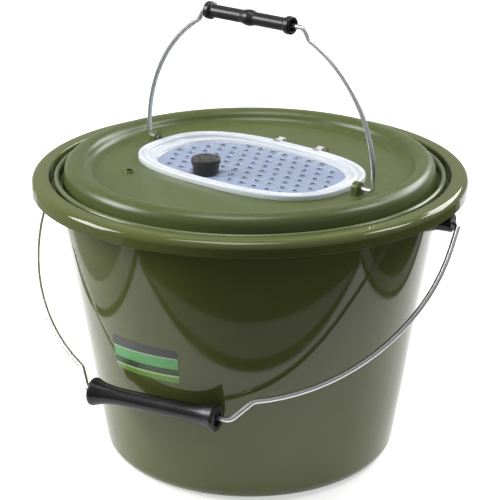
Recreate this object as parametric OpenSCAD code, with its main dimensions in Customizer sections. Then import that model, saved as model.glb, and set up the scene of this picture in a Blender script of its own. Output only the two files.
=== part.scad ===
// Live-bait bucket: a tapered bucket with a bail, a sieve basket that hangs in its rim,
// and a domed lid with its own handle and a perforated hatch.
// Millimetres. The floor is z = 0, the bucket's axis is Z, the bail swings about X
// and hangs on the -Y side.

/* [Bucket] */
// Height from the floor to the top of the rim
bucket_h = 242; // [200:1:300]
// Diameter of the rim, which is the widest part of the bucket
rim_d = 356; // [344:1:400]
// Lean of the wall from upright, in degrees
wall_taper = 9; // [5:0.5:11]
// Thickness of the bucket wall
wall_t = 2.2; // [1.6:0.1:3]
// Thickness of the bucket floor
floor_t = 2.6; // [2:0.1:4]
// Outside radius of the bend from wall to base
base_round = 21; // [14:1:28]
// Height of the ring foot
foot_h = 3; // [2:0.5:5]
// Width of the ring foot
foot_w = 5; // [3:0.5:8]

/* [Rim] */
// Width of the inner shoulder that carries the basket
shoulder_w = 9.2; // [8:0.2:13]
// Depth of the shoulder below the top of the rim
shoulder_depth = 13; // [11:0.5:18]
// Width of the rim outside the shoulder
rim_w = 14.4; // [12:0.2:20]
// Height of the turned-down collar
collar_h = 12; // [8:0.5:14]
// Radius of the rim's outer top edge
rim_round = 6; // [3:0.5:8]
// Number of stiffening ribs under the rim
rim_ribs = 24; // [12:2:36]
// Thickness of a stiffening rib
rib_t = 1.6; // [1:0.1:2.5]

/* [Basket] */
// Gap between the basket wall and the bucket wall
basket_gap = 3; // [2:0.2:6]
// Thickness of the basket
basket_t = 1.8; // [1.4:0.1:2.6]
// Height of the basket's underside above the bucket's floor
sump_h = 40; // [20:1:80]
// Gap between the basket's lip and the rim
lip_gap = 3.8; // [2:0.2:5]
// Width of the rolled edge on the basket's lip
lip_bead = 4.3; // [3:0.1:5.5]
// How far the lip stays below the top of the rim
lip_drop = 0.6; // [0:0.1:3]
// Bend radius from basket wall to basket floor
basket_round = 14; // [8:1:20]
// Diameter of the drain holes
drain_d = 6; // [4:0.5:8]
// Rings of drain holes in the basket floor
drain_rings = 5; // [2:1:6]
// Distance from one ring of drain holes to the next
drain_pitch = 19; // [16:0.5:22]
// Rows of drain holes round the basket wall
wall_rows = 4; // [1:1:6]
// Drain holes in one row
wall_holes = 24; // [12:2:36]
// Height from one row to the next
row_pitch = 22; // [14:1:26]

/* [Lid] */
// Thickness of the lid
lid_t = 2.2; // [1.8:0.1:3]
// Width of the dark groove between lid and lip
lid_groove = 2.5; // [1.6:0.1:4]
// Play between the lid's flange and the lip
flange_play = 0.5; // [0.3:0.1:1]
// Thickness of the lid's flange
flange_t = 2; // [1.5:0.1:3]
// Height of the lid's domed ring above the rim
dome_rise = 10.5; // [5:0.5:12]
// Width of the top of the domed ring
dome_flat = 1.5; // [0.5:0.5:6]
// Bend radius of the domed ring
dome_round = 9; // [8:0.5:10]
// Height of the lid's flat plate above the rim
plate_rise = 1; // [-2:0.5:3]
// Depth of the skirt that centres the lid in the basket
skirt_h = 9; // [5:0.5:14]
// Gap between that skirt and the basket wall
skirt_gap = 0.8; // [0.5:0.1:1.5]
// Turn of the lid's long axis from the bail's axis, in degrees
lid_turn = -14; // [-40:1:40]

/* [Hatch] */
// Half the length of the hatch
hatch_a = 99.8; // [85:0.2:104]
// Half the width of the hatch
hatch_b = 62.4; // [50:0.2:66]
// Squareness of the hatch outline, where 2 is an ellipse
hatch_n = 2.72; // [2.2:0.02:3.4]
// Height of the hatch's edge above the lid plate
hatch_h = 4.6; // [4:0.1:7]
// Thickness of the hatch
hatch_t = 2; // [1.5:0.1:2.4]
// Width of the channel under the hatch's edge
channel_w = 4; // [3.4:0.1:6]
// Play on each side of the lid's kerb in that channel
kerb_play = 0.6; // [0.5:0.05:0.9]
// Depth of the hatch's floor below its edge
well_depth = 5.5; // [4:0.1:8]
// Length of the step at each end of the hatch's floor
end_step = 9; // [5:0.5:16]
// Width of the step along the sides of the floor
side_step = 2; // [1:0.5:5]
// Height of that step above the hatch's floor
step_h = 2.2; // [1:0.1:3]
// Diameter of the air holes in the hatch
air_d = 4.2; // [3:0.1:5]
// Distance from one air hole to the next
air_pitch = 13; // [10:0.5:18]

/* [Hatch hinge] */
// Distance of the hinge pins behind the hatch's edge
hinge_back = 5; // [5:0.2:14]
// Distance between the two hinge lugs
hinge_l = 49; // [30:1:60]
// Diameter of the hinge lugs and of the knuckles beside them
knuckle_d = 5; // [4.6:0.1:5.2]
// Width of each knuckle on the hatch
knuckle_w = 6; // [4:0.5:10]
// Width of each hinge lug on the lid
hinge_lug_w = 4; // [4:0.5:7]
// Diameter of the hinge pins
pin_d = 2.4; // [2:0.1:2.8]
// Gap between a knuckle and its lug
knuckle_play = 0.4; // [0.3:0.05:1]

/* [Bung] */
// Place of the bung along the hatch, from its middle
bung_u = -18; // [-45:1:45]
// Place of the bung across the hatch, from its middle
bung_v = -34; // [-36:1:30]
// Diameter of the bung's head
bung_head_d = 24; // [18:0.5:28]
// Height of the bung's head
bung_head_h = 4.5; // [3:0.5:8]
// Diameter of the bung where it stands on the hatch
bung_foot_d = 20; // [15:0.5:22]
// Height of the bung's tapered body
bung_body_h = 9; // [6:0.5:14]
// Diameter of the plug that fills the hole in the hatch
plug_d = 13; // [9:0.5:14]
// How far the plug reaches below the hatch's floor
plug_reach = 4; // [2:0.5:8]

/* [Air-line boss] */
// Place of the boss along the lid's long axis
boss_u = -66; // [-80:1:-50]
// Place of the boss across the lid's long axis
boss_v = -73; // [-84:1:-72]
// Diameter of the boss
boss_d = 10; // [9.5:0.5:16]
// Height of the boss above the lid plate
boss_h = 2; // [1.5:0.5:6]
// Diameter of the hole for an air line
air_line_d = 6; // [4:0.5:7]

/* [Bail] */
// Thickness of the bail's wire
bail_wire_d = 4.2; // [3:0.1:5]
// Reach of the bail from its pivots to its grip
bail_reach = 196; // [190:0.5:230]
// Depth of the bail's pivots below the top of the rim
pivot_drop = 20; // [18:0.5:30]
// Gap between the rim and the bail's legs
bail_clear = 1.1; // [0.8:0.1:4]
// Gap between the grip and the wall that it hangs against
bail_rest_gap = 0.4; // [0.3:0.1:2]
// Length of the straight leg at each pivot
bail_leg = 22; // [16:1:50]
// Bend radius at the bail's pivots
bail_bend = 4; // [3.5:0.5:6]
// Slope of the wire beside the grip, in degrees
bail_shoulder = 55; // [40:1:60]
// Length of the steep wire beside the grip
bail_shoulder_l = 16; // [8:1:20]
// Bend radius beside the grip
shoulder_bend = 8; // [6:1:12]
// Length of the straight that the grip slides on
bail_straight_l = 119; // [114:1:130]
// How far the middle of that straight is from the bail's middle
bail_shift = -11.5; // [-14:0.5:12]
// Length of the bail's grip
bail_grip_l = 112; // [90:1:112]
// Diameter of the bail's grip at its waist
bail_grip_d = 14; // [12:0.5:17]
// Diameter of the flared ends of the bail's grip
bail_flare_d = 22.5; // [18:0.5:24]
// How late the grip flares, where a higher number flares closer to its ends
bail_flare_power = 5.5; // [4:0.5:10]
// Diameter of the hollow in each end of the bail's grip
bail_cup_d = 13; // [10:0.5:14]
// Depth of that hollow
bail_cup_l = 3; // [1:0.5:5]

/* [Bail lugs] */
// Radius of the black lugs that hold the bail
lug_r = 7.6; // [6:0.1:9]
// How much wider the lugs are where they meet the wall
lug_flare = 2.4; // [1:0.2:4]
// Length of that flare
lug_flare_l = 9; // [4:0.5:12]
// Diameter of the stems on the bucket that carry the lugs
stem_d = 8; // [6:0.5:10]
// Depth of the wire tips in the lugs
tip_in = 8; // [5:0.5:10]

/* [Lid handle] */
// Thickness of the lid handle's wire
handle_wire_d = 3.8; // [3:0.1:4.6]
// Height of the lid handle's pivots above the lid plate
handle_pivot_h = 5.6; // [5:0.1:9]
// Reach of the lid handle from its pivots to its grip
handle_reach = 118.5; // [112:0.5:122]
// Gap between the hatch and the handle's left lug
handle_lug_gap = 1.6; // [1:0.1:4]
// How much further out the handle's right lug stands
handle_lug_shift = 5; // [0:0.5:8]
// Width of the lugs that hold the lid handle
handle_lug_w = 6; // [5:0.5:8]
// Radius of the lugs that hold the lid handle
handle_lug_r = 5; // [4:0.1:6]
// Bare wire between the right lug and its leg
handle_bare = 7.6; // [2:0.2:12]
// Length of the straight leg at each of the handle's pivots
handle_leg = 8; // [7:1:20]
// Bend radius at the handle's pivots
handle_bend = 4; // [4:0.5:6]
// Slope of the wire beside the handle's grip, in degrees
handle_shoulder = 60; // [52:1:62]
// Length of the steep wire beside the handle's grip
handle_shoulder_l = 5; // [3:0.5:8]
// Bend radius beside the handle's grip
handle_shoulder_bend = 6; // [5:0.5:8]
// Length of the straight that the handle's grip slides on
handle_straight_l = 96; // [92:0.5:100]
// How far the middle of that straight is from the handle's middle
handle_shift = 3; // [-4:0.5:4]
// Length of the handle's grip
handle_grip_l = 88; // [70:1:90]
// Diameter of the handle's grip
handle_grip_d = 10.6; // [9:0.1:12]
// Diameter of the rings at the ends of the handle's grip
handle_ring_d = 14.4; // [13:0.2:17]
// Width of those rings
handle_ring_w = 5; // [3:0.5:8]
// Diameter of the swell in the middle of the handle's grip
handle_swell_d = 13; // [12:0.2:15]
// Length of that swell
handle_swell_l = 14; // [8:0.5:20]
// Diameter of the hollow in each end of the handle's grip
handle_cup_d = 9.6; // [7:0.2:10]
// Depth of that hollow
handle_cup_l = 5; // [2:0.5:8]

/* [Hidden] */
$fn = 128;

green = "#6b7344";
dark_green = "#59613a";
black = "#1d1e1e";
steel = "#c9ccce";
clear = "#cfd8e6";

seat = 0.1;      // gap between pieces that rest on one another
fit = 0.08;      // radial play of a wire or pin in its hole
bore_fit = 0.1;  // radial play of a wire in its grip
grip_gap = 0.5;  // gap between a grip and the bend that stops it
leg_gap = 0.4;   // gap between a lug and the leg of the wire that turns in it
through = 1;     // how far a cut runs past the surface that it leaves
outline_steps = 96;
bend_steps = 10;
collar_l = 0.12;
collar_rise = 0.01;
joint_gap = 0.04;

// Bucket profile, from the wall's own taper
slope = tan(wall_taper);
skew = cos(wall_taper);
shoulder_z = bucket_h - shoulder_depth;
rim_r = rim_d / 2;
gutter_r = rim_r - rim_w;
wall_top_r = gutter_r - shoulder_w + wall_t / skew;
floor_z = foot_h + floor_t;
pivot_z = bucket_h - pivot_drop;
function wall_r(z) = wall_top_r - (shoulder_z - z) * slope;
function wall_in_r(z) = wall_r(z) - wall_t / skew;

// Basket profile, hung on the shoulder
basket_z = floor_z + sump_h;
hang_z = shoulder_z + seat;
lip_r = gutter_r - lip_gap;
lip_top_z = bucket_h - lip_drop;
bead_r = lip_r - lip_bead / 2;
lip_wall_t = basket_t;
function basket_r(z) = wall_in_r(z) - basket_gap;
function basket_in_r(z) = basket_r(z) - basket_t / skew;

// Lid profile, seated on the basket's step
lid_z = hang_z + basket_t + seat;
flange_r = bead_r - lip_bead / 2 - flange_play;
dome_r = lip_r - lip_bead - lid_groove;
dome_z = bucket_h + dome_rise;
plate_z = bucket_h + plate_rise;
dome_lean = 1.5;

// Hatch levels and outlines
hatch_top_z = plate_z + hatch_h;
well_z = hatch_top_z - well_depth;
kerb_h = hatch_h - hatch_t - kerb_play;
kerb_in = hatch_t + channel_w - kerb_play;
opening_in = kerb_in;
well_in = hatch_t + channel_w;
hinge_v = hatch_b + hinge_back;
hinge_z = plate_z + knuckle_d / 2 + kerb_play;
knuckle_out = hinge_l / 2 - knuckle_play;

// Lid handle, worked out from the hatch outwards. Its right lug stands further out, and
// the wire runs bare for a little before its right leg.
handle_lug_in = hatch_a + handle_lug_gap;
handle_lug_out = handle_lug_in + handle_lug_w;
handle_left_span = handle_lug_out + leg_gap + handle_bend;
handle_right_span = handle_left_span + handle_lug_shift + handle_bare;
handle_grip_x = handle_shift - (handle_straight_l - handle_grip_l) / 2 + grip_gap;
handle_z = plate_z + handle_pivot_h;

// Bail, worked out from the rim outwards. It hangs where its grip's waist meets the wall.
bail_span = rim_r + bail_clear + bail_wire_d / 2;
rest_r = wall_r(pivot_z) + (bail_grip_d / 2 + bail_rest_gap) / skew;
bail_hang = wall_taper + acos(skew * rest_r / bail_reach);
grip_x = bail_shift - (bail_straight_l - bail_grip_l) / 2 + grip_gap;
lug_out = bail_span - bail_bend - leg_gap;
stem_out = lug_out - tip_in - leg_gap;

// ---- shared shapes -------------------------------------------------------------

// Points along an arc, from angle a0 to angle a1
function arc(c, r, a0, a1, steps = bend_steps) = [
    for (i = [0 : steps])
        let (a = a0 + (a1 - a0) * i / steps)
        [c[0] + r * cos(a), c[1] + r * sin(a)]
];

function reversed(points) = [for (i = [len(points) - 1 : -1 : 0]) points[i]];

// Rounded-oblong outline of the hatch, set in by d
function side(x, p) = sign(x) * pow(abs(x), p);
function oblong(d) = [
    for (i = [0 : outline_steps - 1])
        let (a = 360 * (i + 0.5) / outline_steps)
        [(hatch_a - d) * side(cos(a), 2 / hatch_n), (hatch_b - d) * side(sin(a), 2 / hatch_n)]
];

// Wall that follows the hatch's outline between two insets
module oblong_ring(d_out, d_in, z0, z1) {
    translate([0, 0, z0])
        linear_extrude(z1 - z0)
            difference() {
                polygon(oblong(d_out));
                polygon(oblong(d_in));
            }
}

// Cylinder along X, from x0 to x1
module rod_x(x0, x1, d) {
    translate([x0, 0, 0])
        rotate([0, 90, 0])
            cylinder(h = x1 - x0, d = d);
}

// Bent wire, laid out step by step from the origin along +X and turning towards -Y.
// A step is ["line", length] or ["bend", radius, angle]; a negative angle turns back.
// A collar a hundredth of a millimetre proud bridges each joint between two steps.
module wire(steps, d, i = 0) {
    if (i < len(steps)) {
        s = steps[i];
        last = i == len(steps) - 1;
        rod_x(-collar_l, collar_l, d + 2 * collar_rise);
        if (s[0] == "line") {
            rod_x(joint_gap, s[1] - (last ? 0 : joint_gap), d);
            translate([s[1], 0, 0])
                wire(steps, d, i + 1);
        } else {
            turn = s[2] > 0 ? 1 : -1;
            centre = [0, -turn * s[1], 0];
            skip = joint_gap / s[1] * 180 / PI;
            translate(centre)
                rotate([0, 0, (turn > 0 ? 90 - s[2] : -90) + skip])
                    rotate_extrude(angle = abs(s[2]) - 2 * skip)
                        translate([s[1], 0])
                            circle(d = d);
            translate(centre)
                rotate([0, 0, -s[2]])
                    translate(-centre)
                        wire(steps, d, i + 1);
        }
    }
}

// Half of a carrying wire: along the grip, down a steep shoulder, back a little, round the
// big arc, down the leg and in at the pivot. The arc's slope at its start and its radius
// follow from the span and the reach.
module half_wire(d, half_grip, span, reach, shoulder, shoulder_l, r, leg, bend, tip) {
    run = span - half_grip - 2 * r * sin(shoulder) - shoulder_l * cos(shoulder) + r;
    drop = reach - leg - r * (1 - 2 * cos(shoulder)) - shoulder_l * sin(shoulder);
    start = 90 - 2 * atan(run / drop);
    big = drop / cos(start) - r;
    wire([
        ["line", half_grip],
        ["bend", r, shoulder],
        ["line", shoulder_l],
        ["bend", r, start - shoulder],
        ["bend", big, 90 - start],
        ["line", leg - bend],
        ["bend", bend, 90],
        ["line", tip]
    ], d);
}

// Placing a shape in the bail's plane, the lid's frame or the lid handle's plane
module in_bail_plane() {
    translate([0, 0, pivot_z])
        rotate([180 + bail_hang, 0, 0])
            children();
}

module on_lid() {
    rotate([0, 0, lid_turn])
        children();
}

module in_handle_plane() {
    on_lid()
        translate([0, 0, handle_z])
            rotate([90, 0, 0])
                children();
}

// ---- bucket --------------------------------------------------------------------

base_centre_r = wall_r(0) - base_round / tan((90 + wall_taper) / 2);
inner_round = base_round - wall_t;
inner_centre_r = wall_in_r(floor_z) - inner_round / tan((90 + wall_taper) / 2);

module bucket_profile() {
    neck_z = shoulder_z - wall_t;
    outside = concat(
        [[0, foot_h], [base_centre_r - foot_w, foot_h], [base_centre_r - foot_w, 0]],
        arc([base_centre_r, base_round], base_round, -90, -wall_taper),
        [[wall_r(neck_z), neck_z], [gutter_r + wall_t, neck_z],
         [gutter_r + wall_t, bucket_h - wall_t]],
        arc([rim_r - rim_round, bucket_h - rim_round], rim_round - wall_t, 90, 0),
        [[rim_r - wall_t, bucket_h - collar_h], [rim_r, bucket_h - collar_h]],
        arc([rim_r - rim_round, bucket_h - rim_round], rim_round, 0, 90)
    );
    inside = concat(
        arc([gutter_r + 1, bucket_h - 1], 1, 90, 180, 3),
        [[gutter_r, shoulder_z], [wall_in_r(shoulder_z), shoulder_z]],
        arc([inner_centre_r, floor_z + inner_round], inner_round, -wall_taper, -90),
        [[0, floor_z]]
    );
    polygon(concat(outside, inside));
}

module rim_rib() {
    rotate([90, 0, 0])
        translate([0, 0, -rib_t / 2])
            linear_extrude(rib_t)
                polygon([
                    [gutter_r + wall_t / 2, bucket_h - wall_t / 2],
                    [rim_r - wall_t / 2, bucket_h - rim_round],
                    [rim_r - wall_t / 2, bucket_h - collar_h + 2],
                    [gutter_r + wall_t / 2, bucket_h - collar_h + 2]
                ]);
}

module outer_bucket() {
    color(green) {
        rotate_extrude()
            bucket_profile();
        for (i = [0 : rim_ribs - 1])
            rotate([0, 0, 360 * (i + 0.5) / rim_ribs])
                rim_rib();
        for (m = [0, 1])
            mirror([m, 0, 0])
                translate([0, 0, pivot_z])
                    rod_x(wall_in_r(pivot_z) + wall_t / 2, stem_out, stem_d);
    }
}

// ---- bail lugs -----------------------------------------------------------------

// Everything that the lug must stay clear of: the wall, the shoulder and the gutter
module bucket_room() {
    rotate_extrude()
        polygon([
            [0, 0], [wall_r(0) + seat, 0],
            [wall_r(shoulder_z - wall_t) + seat, shoulder_z - wall_t - seat],
            [gutter_r + wall_t + seat, shoulder_z - wall_t - seat],
            [gutter_r + wall_t + seat, bucket_h], [0, bucket_h]
        ]);
}

module bail_lug() {
    wall_x = wall_r(pivot_z);
    color(black)
        difference() {
            translate([0, 0, pivot_z])
                difference() {
                    union() {
                        rod_x(wall_x - lug_r, lug_out, 2 * lug_r);
                        translate([wall_x, 0, 0])
                            rotate([0, 90, 0])
                                cylinder(h = lug_flare_l, r1 = lug_r + lug_flare, r2 = lug_r);
                        translate([wall_x - lug_r, 0, 0])
                            rod_x(0, lug_r, 2 * (lug_r + lug_flare));
                    }
                    rod_x(0, stem_out + seat, stem_d);
                    rod_x(0, lug_out + through, bail_wire_d + 2 * fit);
                }
            bucket_room();
        }
}

module right_bail_lug() {
    bail_lug();
}

module left_bail_lug() {
    mirror([1, 0, 0])
        bail_lug();
}

// ---- bail ----------------------------------------------------------------------

module bail_wire() {
    color(steel)
        in_bail_plane()
            for (m = [0, 1])
                mirror([m, 0, 0])
                    translate([0, bail_reach, 0])
                        half_wire(bail_wire_d,
                                  bail_straight_l / 2 + (m > 0 ? -bail_shift : bail_shift),
                                  bail_span, bail_reach, bail_shoulder, bail_shoulder_l,
                                  shoulder_bend, bail_leg, bail_bend, leg_gap + tip_in);
}

// Grip turned about X, with a bore for its wire and a hollow in each end
module grip_turned(points, bore_d, length, cup_d, cup_l) {
    difference() {
        rotate([0, 90, 0])
            rotate_extrude()
                polygon(points);
        rod_x(-length, length, bore_d);
        for (m = [0, 1])
            mirror([m, 0, 0])
                rod_x(length / 2 - cup_l, length, cup_d);
    }
}

function both_ways(half) = concat(half, [for (p = reversed(half)) [p[0], -p[1]]]);

module bail_grip() {
    h = bail_grip_l / 2;
    waist = bail_grip_d / 2;
    flare = bail_flare_d / 2;
    edge = 1.5;
    body = h - 2 * edge;
    steps = 7;
    half = concat(
        [[0, h], [flare - edge, h], [flare, h - edge]],
        [for (i = [steps : -1 : 1])
            let (t = 0.3 + 0.7 * i / steps)
            [waist + (flare - waist) * pow(t, bail_flare_power), body * t]]
    );
    color(black)
        in_bail_plane()
            translate([grip_x, bail_reach, 0])
                grip_turned(both_ways(half), bail_wire_d + 2 * bore_fit, bail_grip_l,
                            bail_cup_d, bail_cup_l);
}

// ---- basket --------------------------------------------------------------------

basket_corner_r = basket_r(basket_z) - basket_round / tan((90 + wall_taper) / 2);
basket_inner_round = basket_round - basket_t;
basket_inner_r = basket_in_r(basket_z + basket_t)
    - basket_inner_round / tan((90 + wall_taper) / 2);

module basket_profile() {
    step_z = hang_z + basket_t;
    bead_z = lip_top_z - lip_bead / 2;
    polygon(concat(
        [[0, basket_z]],
        arc([basket_corner_r, basket_z + basket_round], basket_round, -90, -wall_taper),
        [[basket_r(hang_z), hang_z], [bead_r + lip_wall_t / 2, hang_z],
         [bead_r + lip_wall_t / 2, bead_z], [bead_r - lip_wall_t / 2, bead_z],
         [bead_r - lip_wall_t / 2, step_z], [basket_in_r(step_z), step_z]],
        arc([basket_inner_r, basket_z + basket_t + basket_inner_round],
            basket_inner_round, -wall_taper, -90),
        [[0, basket_z + basket_t]]
    ));
    translate([bead_r, bead_z])
        circle(d = lip_bead, $fn = 48);
}

module sieve_basket() {
    row_z = basket_z + basket_round + drain_d;
    color(dark_green)
        difference() {
            rotate_extrude()
                basket_profile();
            for (ring = [0 : drain_rings])
                for (i = [0 : max(0, 6 * ring - 1)])
                    rotate([0, 0, ring > 0 ? 60 * i / ring : 0])
                        translate([ring * drain_pitch, 0, basket_z - through])
                            cylinder(h = basket_t + 2 * through, d = drain_d, $fn = 24);
            for (row = [0 : wall_rows - 1])
                for (i = [0 : wall_holes - 1])
                    rotate([0, 0, 360 * (i + (row % 2) / 2) / wall_holes])
                        translate([basket_r(row_z + row * row_pitch), 0, row_z + row * row_pitch])
                            rotate([0, 90 + wall_taper, 0])
                                cylinder(h = 6 * basket_t, d = drain_d, center = true, $fn = 24);
        }
}

// ---- lid -----------------------------------------------------------------------

// Line over the dome and down to the plate, set o below the top surface
s_turn = acos(1 - (dome_z - plate_z) / (2 * dome_round));
dome_out_r = dome_r - dome_lean - dome_round;
dome_in_r = dome_out_r - dome_flat;
plate_r = dome_in_r - 2 * dome_round * sin(s_turn);

function lid_line(o) = concat(
    [[dome_r - o, lid_z + flange_t]],
    arc([dome_out_r, dome_z - dome_round], dome_round - o, 0, 90),
    arc([dome_in_r, dome_z - dome_round], dome_round - o, 90, 90 + s_turn),
    arc([plate_r, plate_z + dome_round], dome_round + o, s_turn - 90, -90),
    [[0, plate_z - o]]
);

module lid_profile() {
    skirt_z = lid_z - skirt_h;
    skirt_t = lid_t;
    polygon(concat(
        [[flange_r, lid_z + flange_t]],
        lid_line(0),
        reversed(lid_line(lid_t)),
        [[basket_in_r(lid_z) - skirt_gap - skirt_t, lid_z + flange_t],
         [basket_in_r(skirt_z) - skirt_gap - skirt_t, skirt_z],
         [basket_in_r(skirt_z) - skirt_gap, skirt_z],
         [basket_in_r(lid_z) - skirt_gap, lid_z],
         [flange_r, lid_z]]
    ));
}

// Lug with a rounded head, its hole along X, from x0 to x1 over the plate
module lug_x(x0, x1, r, z, y = 0) {
    translate([0, y, z])
        rod_x(x0, x1, 2 * r);
    translate([x0, y - r, plate_z - lid_t / 2])
        cube([x1 - x0, 2 * r, z - plate_z + lid_t / 2]);
}

module lid() {
    color(green)
        on_lid()
            difference() {
                union() {
                    rotate_extrude()
                        lid_profile();
                    oblong_ring(hatch_t + kerb_play, kerb_in, plate_z - lid_t, plate_z + kerb_h);
                    translate([boss_u, boss_v, plate_z - lid_t])
                        cylinder(h = lid_t + boss_h, d = boss_d);
                    for (m = [0, 1])
                        mirror([m, 0, 0]) {
                            lug_x(handle_lug_in + (m > 0 ? 0 : handle_lug_shift),
                                  handle_lug_out + (m > 0 ? 0 : handle_lug_shift),
                                  handle_lug_r, handle_z);
                            lug_x(hinge_l / 2, hinge_l / 2 + hinge_lug_w,
                                  knuckle_d / 2, hinge_z, hinge_v);
                        }
                }
                translate([0, 0, plate_z - lid_t - through])
                    linear_extrude(lid_t + kerb_h + 2 * through)
                        polygon(oblong(opening_in));
                translate([boss_u, boss_v, plate_z - lid_t - through])
                    cylinder(h = lid_t + boss_h + 2 * through, d = air_line_d);
                translate([0, 0, handle_z])
                    rod_x(-handle_lug_out - through, handle_lug_out + handle_lug_shift + through,
                          handle_wire_d + 2 * fit);
                translate([0, hinge_v, hinge_z])
                    rod_x(-hatch_a, hatch_a, pin_d);
            }
}

// ---- hatch ---------------------------------------------------------------------

floor_a = hatch_a - well_in - hatch_t - end_step;
floor_b = hatch_b - well_in - hatch_t - side_step;

// True where an air hole at (u, v) lies inside the floor and clear of the bung
function air_hole_at(u, v) =
    pow(abs(u) / (floor_a - air_d), hatch_n) + pow(abs(v) / (floor_b - air_d), hatch_n) < 1
    && norm([u - bung_u, v - bung_v]) > bung_head_d / 2 + air_d / 2;

module floor_outline(grow) {
    polygon([
        for (i = [0 : outline_steps - 1])
            let (a = 360 * (i + 0.5) / outline_steps)
            [(floor_a + grow) * side(cos(a), 2 / hatch_n),
             (floor_b + grow) * side(sin(a), 2 / hatch_n)]
    ]);
}

module hatch() {
    rows = floor(floor_b / (air_pitch * sin(60)));
    columns = floor(floor_a / air_pitch) + 1;
    step_z = well_z + step_h;
    color(clear, 0.6)
        on_lid()
            difference() {
                union() {
                    oblong_ring(0, well_in + hatch_t, hatch_top_z - hatch_t, hatch_top_z);
                    oblong_ring(0, hatch_t, plate_z + seat, hatch_top_z);
                    oblong_ring(well_in, well_in + hatch_t, step_z - hatch_t, hatch_top_z);
                    translate([0, 0, step_z - hatch_t])
                        linear_extrude(hatch_t)
                            difference() {
                                polygon(oblong(well_in));
                                floor_outline(0);
                            }
                    translate([0, 0, well_z - hatch_t])
                        linear_extrude(step_z - well_z + hatch_t)
                            difference() {
                                floor_outline(hatch_t);
                                floor_outline(0);
                            }
                    translate([0, 0, well_z - hatch_t])
                        linear_extrude(hatch_t)
                            floor_outline(hatch_t);
                    for (m = [0, 1])
                        mirror([m, 0, 0]) {
                            translate([knuckle_out - knuckle_w, hatch_b - 1.5 * hatch_t,
                                       hatch_top_z - hatch_t])
                                cube([knuckle_w, hinge_back + 1.5 * hatch_t, hatch_t]);
                            translate([0, hinge_v, hinge_z])
                                rod_x(knuckle_out - knuckle_w, knuckle_out, knuckle_d);
                        }
                }
                translate([0, hinge_v, hinge_z])
                    rod_x(-hinge_l, hinge_l, pin_d + 2 * fit);
                for (row = [-rows : rows])
                    for (column = [-columns : columns]) {
                        u = (column + (row % 2 == 0 ? 0 : 0.5)) * air_pitch;
                        v = row * air_pitch * sin(60);
                        if (air_hole_at(u, v))
                            translate([u, v, well_z - hatch_t - through])
                                cylinder(h = hatch_t + 2 * through, d = air_d, $fn = 24);
                    }
                translate([bung_u, bung_v, well_z - hatch_t - through])
                    cylinder(h = hatch_t + 2 * through, d = plug_d + 2 * fit);
            }
}

module hinge_pin() {
    color(steel)
        translate([0, hinge_v, hinge_z])
            rod_x(knuckle_out - knuckle_w, hinge_l / 2 + hinge_lug_w, pin_d);
}

module right_hinge_pin() {
    on_lid()
        hinge_pin();
}

module left_hinge_pin() {
    on_lid()
        mirror([1, 0, 0])
            hinge_pin();
}

module bung() {
    head_r = bung_head_d / 2;
    foot_r = bung_foot_d / 2;
    body_z = bung_body_h;
    plug_r = plug_d / 2;
    color(black)
        on_lid()
            translate([bung_u, bung_v, well_z + seat])
                rotate_extrude()
                    polygon([
                        [0, -hatch_t - plug_reach], [plug_r - 1.5, -hatch_t - plug_reach],
                        [plug_r, -hatch_t - plug_reach + 1.5], [plug_r, 0], [foot_r, 0],
                        [foot_r + 1.2, body_z], [head_r - 0.6, body_z], [head_r, body_z + 0.6],
                        [head_r, body_z + bung_head_h - 1.2],
                        [head_r - 1.2, body_z + bung_head_h], [0, body_z + bung_head_h]
                    ]);
}

// ---- lid handle ----------------------------------------------------------------

module lid_handle_wire() {
    tip_l = handle_lug_w - through;
    color(steel)
        in_handle_plane()
            for (m = [0, 1])
                mirror([m, 0, 0])
                    translate([0, handle_reach, 0])
                        half_wire(handle_wire_d,
                                  handle_straight_l / 2 + (m > 0 ? -handle_shift : handle_shift),
                                  m > 0 ? handle_left_span : handle_right_span, handle_reach,
                                  handle_shoulder, handle_shoulder_l, handle_shoulder_bend,
                                  handle_leg, handle_bend,
                                  leg_gap + tip_l + (m > 0 ? 0 : handle_bare));
}

module lid_handle_grip() {
    h = handle_grip_l / 2;
    tube = handle_grip_d / 2;
    ring = handle_ring_d / 2;
    swell = handle_swell_d / 2;
    edge = 0.8;
    slant = 1.5;
    half = [
        [0, h], [ring - edge, h], [ring, h - edge], [ring, h - handle_ring_w],
        [tube, h - handle_ring_w - slant], [tube, handle_swell_l / 2],
        [(tube + 2 * swell) / 3, handle_swell_l / 4], [swell, handle_swell_l / 10]
    ];
    color(black)
        in_handle_plane()
            translate([handle_grip_x, handle_reach, 0])
                grip_turned(both_ways(half), handle_wire_d + 2 * bore_fit, handle_grip_l,
                            handle_cup_d, handle_cup_l);
}

outer_bucket();
right_bail_lug();
left_bail_lug();
bail_wire();
bail_grip();
sieve_basket();
lid();
hatch();
right_hinge_pin();
left_hinge_pin();
bung();
lid_handle_wire();
lid_handle_grip();
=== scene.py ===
"""Looks of the live-bait bucket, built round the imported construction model.

Sizes are in millimetres until a mesh is finished, and repeat the named values of the
part's source. The bucket's axis is Z, the bail swings about X and hangs on the -Y side.
"""

from math import acos, atan, copysign, cos, degrees, pi, radians, sin, sqrt, tan

import bmesh
import bpy
from mathutils import Matrix, Vector


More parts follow.
